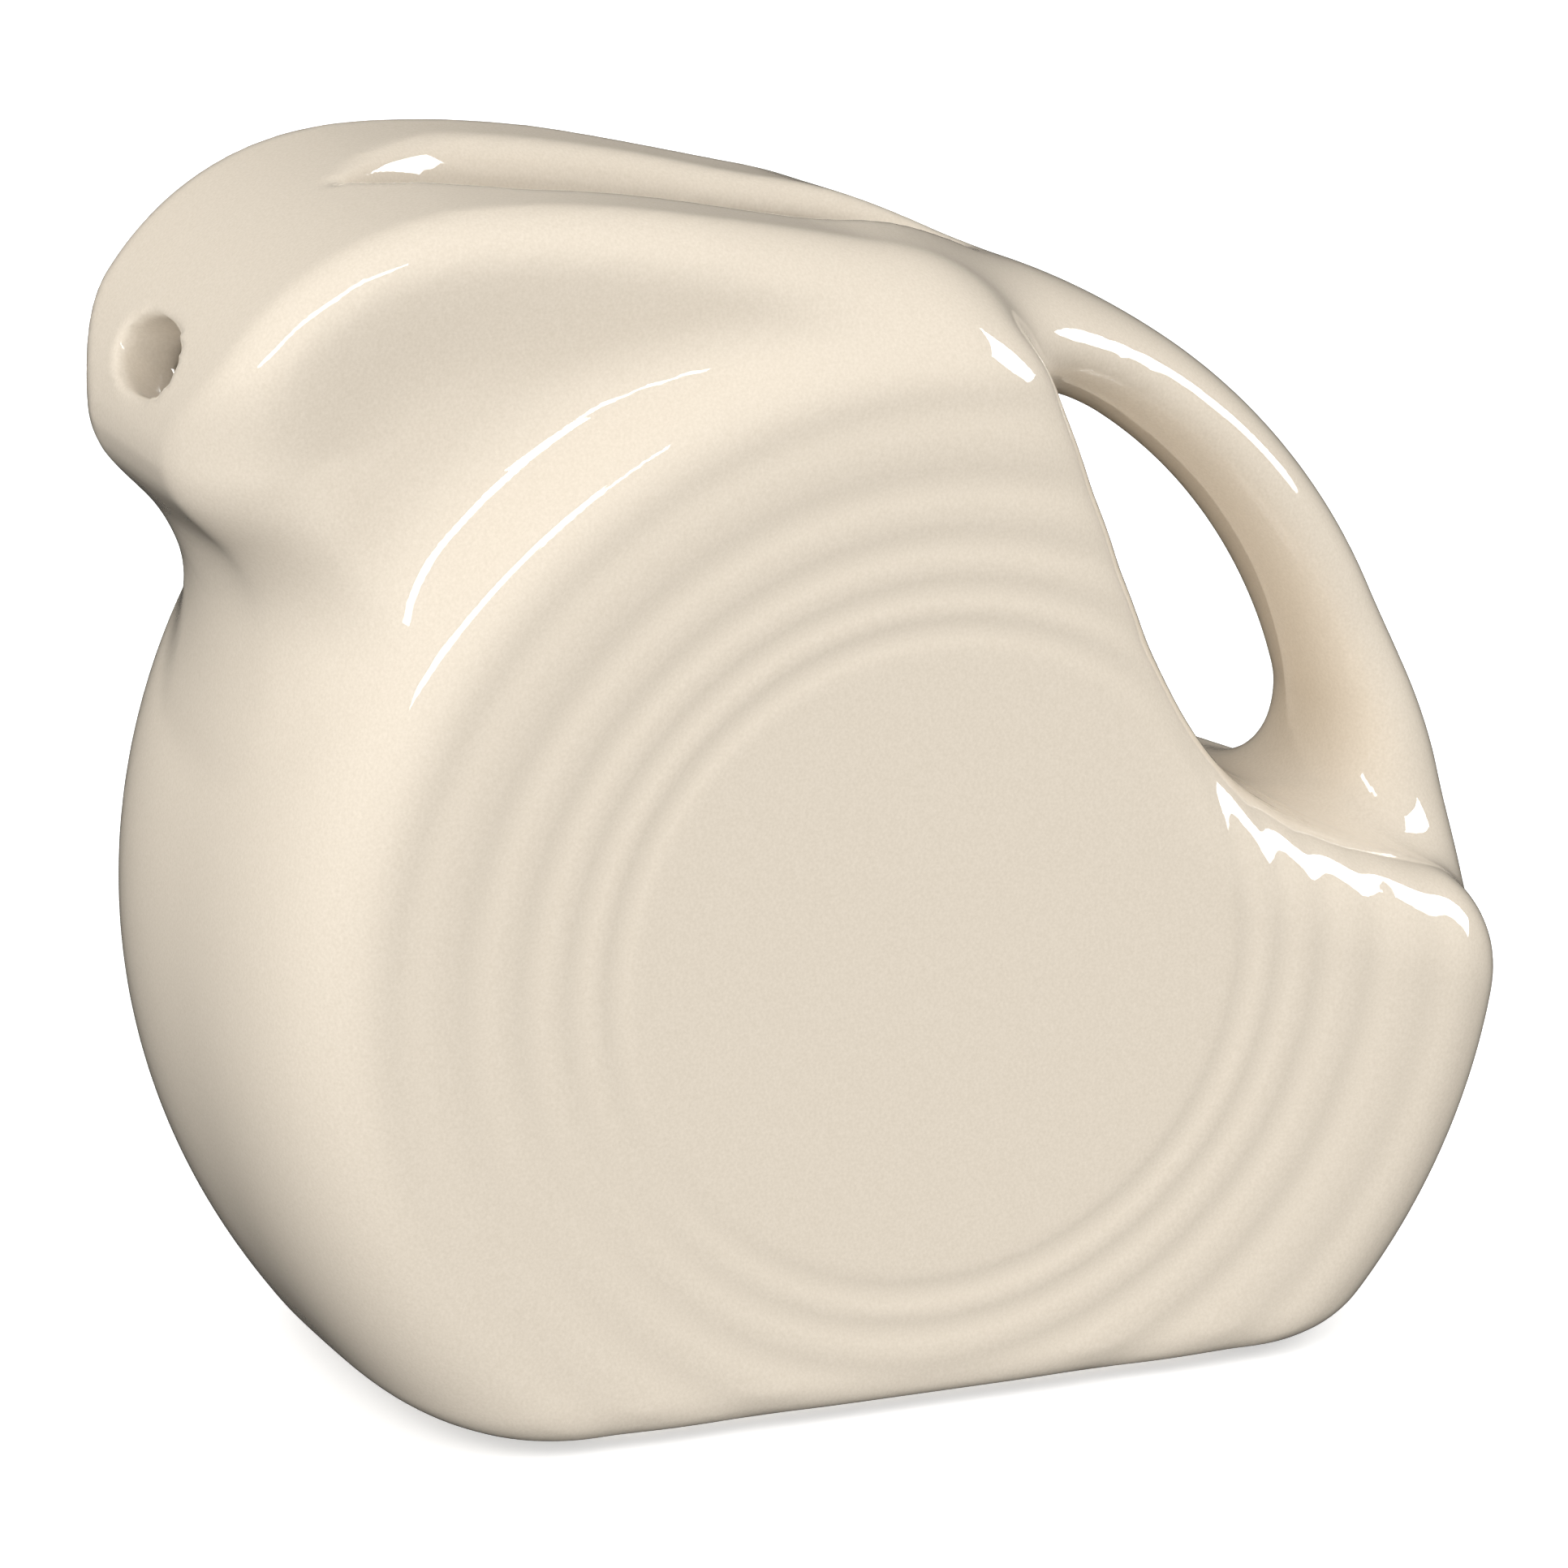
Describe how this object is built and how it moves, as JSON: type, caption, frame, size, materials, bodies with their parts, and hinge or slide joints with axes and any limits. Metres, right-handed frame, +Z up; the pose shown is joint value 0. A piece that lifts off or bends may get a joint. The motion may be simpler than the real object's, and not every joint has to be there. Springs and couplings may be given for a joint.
{
  "type": "disk pitcher",
  "caption": "Small glazed ceramic pitcher: an upright ringed disk body on a low foot, a beaked hood with a long mouth and a pour hole, and a loop handle over a scooped back",
  "frame": {"origin": "middle of the bounding box's bottom, on the surface that the foot ring stands on", "axes": "+Z up; +X from the beak towards the handle; +Y across the disk, along its axis"},
  "size_m": [0.0952, 0.0426, 0.0831],
  "materials": {
    "glaze": "gloss",
    "bisque": "matte"
  },
  "bodies": {
    "root": {"disk_body": "glaze", "spout_hood": "glaze", "handle": "glaze", "foot_ring": "bisque"}
  },
  "joints": []
}
